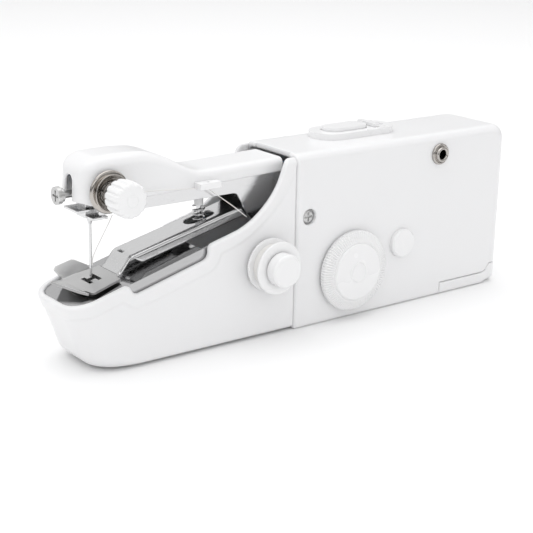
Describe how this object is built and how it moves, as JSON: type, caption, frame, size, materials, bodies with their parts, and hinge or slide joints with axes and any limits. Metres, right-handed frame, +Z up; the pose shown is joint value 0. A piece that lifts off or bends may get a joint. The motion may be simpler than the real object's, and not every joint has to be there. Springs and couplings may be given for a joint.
{
  "type": "handheld sewing machine",
  "caption": "White handheld battery sewing machine with a rocking needle arm, sprung presser foot, hand wheel and side bobbin.",
  "frame": {"origin": "on the flat underside of the motor case, straight below the arm pivot, in the middle of the machine's depth", "axes": "+X from the needle end to the battery end, +Z up, so that -Y is the side with the hand wheel and bobbin"},
  "size_m": [0.2051, 0.046, 0.0752],
  "materials": {
    "white_shell": "satin",
    "white_part": "satin",
    "gear_white": "matte",
    "black_plastic": "matte",
    "nickel_steel": "brushed",
    "zinc_screw": "satin",
    "chrome_ring": "polished",
    "motor_can": "satin",
    "brass": "satin",
    "cell_wrap": "gloss",
    "white_thread": "matte"
  },
  "bodies": {
    "case": {"motor_case": "white_shell", "back_cover": "white_shell", "front_case": "white_shell", "bed_frame": "nickel_steel", "gear_bracket": "zinc_screw", "bracket_screws": "zinc_screw", "cover_screws": "zinc_screw", "pivot_screw": "zinc_screw", "pivot_sleeve": "nickel_steel", "wheel_bush": "brass", "bracket_bush": "brass", "idler_axle": "nickel_steel", "axle_cap": "white_part", "motor": "motor_can", "motor_screws": "zinc_screw", "shaft_bearings": "gear_white", "feed_guide": "gear_white", "bobbin_post": "nickel_steel", "battery_cells": "cell_wrap", "cell_contacts": "brass", "cell_plate": "black_plastic", "jack_ring": "chrome_ring", "jack_body": "black_plastic", "switch_base": "white_part", "micro_switch": "black_plastic"},
    "arm": {"arm_lever": "nickel_steel", "arm_cover": "white_shell", "needle_clamp": "nickel_steel", "needle": "nickel_steel", "tension_post": "nickel_steel", "tension_discs": "nickel_steel", "tension_spring": "nickel_steel", "thread_guide": "white_part", "spring_stud": "white_part", "presser_spring": "nickel_steel", "arm_thread": "white_thread", "needle_thread": "white_thread", "feed_thread": "white_thread", "rod_rivet": "zinc_screw"},
    "clamp": {"clamp_screw": "zinc_screw"},
    "knob": {"tension_knob": "white_part"},
    "rod": {"connecting_rod": "nickel_steel"},
    "presser": {"presser_lever": "nickel_steel", "presser_foot": "nickel_steel"},
    "wheel": {"hand_wheel": "white_part", "wheel_shaft": "nickel_steel", "main_gear": "gear_white", "crank_disc": "zinc_screw"},
    "idler": {"idler_gear": "gear_white"},
    "pinion": {"motor_pinion": "brass"},
    "loop_shaft": {"looper": "nickel_steel", "looper_shaft": "nickel_steel"},
    "feed": {"feed_bar": "nickel_steel"},
    "spool": {"bobbin": "white_part", "bobbin_thread": "white_thread"},
    "spool_cap": {"bobbin_cap": "white_part"},
    "button": {"switch_button": "white_part"},
    "lock": {"switch_lock": "white_part"},
    "door": {"battery_door": "white_shell", "door_contacts": "brass"}
  },
  "joints": [
    {"name": "arm_rock", "type": "hinge", "parent": "case", "child": "arm", "pos_m": [0.0008, 0, 0.0437], "axis": [0, 1, 0], "range_deg": [-4.5, 4.5]},
    {"name": "clamp_turn", "type": "hinge", "parent": "arm", "child": "clamp", "pos_m": [-0.09, 0, 0.062], "axis": [1, 0, 0], "range_deg": [-180, 180]},
    {"name": "tension_turn", "type": "hinge", "parent": "arm", "child": "knob", "pos_m": [-0.082, -0.02, 0.0638], "axis": [0, 1, 0], "range_deg": [-360, 360]},
    {"name": "rod_swing", "type": "hinge", "parent": "arm", "child": "rod", "pos_m": [0.0236, 0.005, 0.0447], "axis": [0, 1, 0], "range_deg": [-5, 5]},
    {"name": "foot_lift", "type": "hinge", "parent": "case", "child": "presser", "pos_m": [0.0008, 0, 0.0437], "axis": [0, 1, 0], "range_deg": [0, 6], "stiffness_Nm_per_rad": 0.15},
    {"name": "wheel_turn", "type": "hinge", "parent": "case", "child": "wheel", "pos_m": [0.0218, 0, 0.0197], "axis": [0, 1, 0], "continuous": true},
    {"name": "idler_turn", "type": "hinge", "parent": "case", "child": "idler", "pos_m": [0.04778, 0, 0.02627], "axis": [0, 1, 0], "continuous": true},
    {"name": "pinion_turn", "type": "hinge", "parent": "case", "child": "pinion", "pos_m": [0.05451, 0, 0.05139], "axis": [0, 1, 0], "continuous": true},
    {"name": "looper_rock", "type": "hinge", "parent": "case", "child": "loop_shaft", "pos_m": [-0.08, 0, 0.012], "axis": [1, 0, 0], "range_deg": [-23, 23]},
    {"name": "feed_slide", "type": "slide", "parent": "case", "child": "feed", "axis": [0.9668, 0, 0.2554], "range_m": [-0.0015, 0.0015]},
    {"name": "spool_turn", "type": "hinge", "parent": "case", "child": "spool", "pos_m": [-0.0188, -0.02, 0.0291], "axis": [0, 1, 0], "continuous": true},
    {"name": "spool_cap_pull", "type": "slide", "parent": "case", "child": "spool_cap", "axis": [0, -1, 0], "range_m": [0, 0.008]},
    {"name": "button_press", "type": "slide", "parent": "case", "child": "button", "axis": [0, 0, -1], "range_m": [0, 0.001], "stiffness_N_per_m": 1000, "springref_m": -0.0005},
    {"name": "lock_slide", "type": "slide", "parent": "case", "child": "lock", "axis": [1, 0, 0], "range_m": [0, 0.005]},
    {"name": "door_slide", "type": "slide", "parent": "case", "child": "door", "axis": [1, 0, 0], "range_m": [0, 0.034]}
  ],
  "couplings": [
    {"joint": "rod_swing", "follows": "arm_rock", "ratio": -1},
    {"joint": "looper_rock", "follows": "arm_rock", "ratio": 5},
    {"joint": "feed_slide", "follows": "arm_rock", "m_per_rad": 0.019},
    {"joint": "idler_turn", "follows": "wheel_turn", "ratio": -1.5769},
    {"joint": "pinion_turn", "follows": "wheel_turn", "ratio": 7.7413}
  ]
}
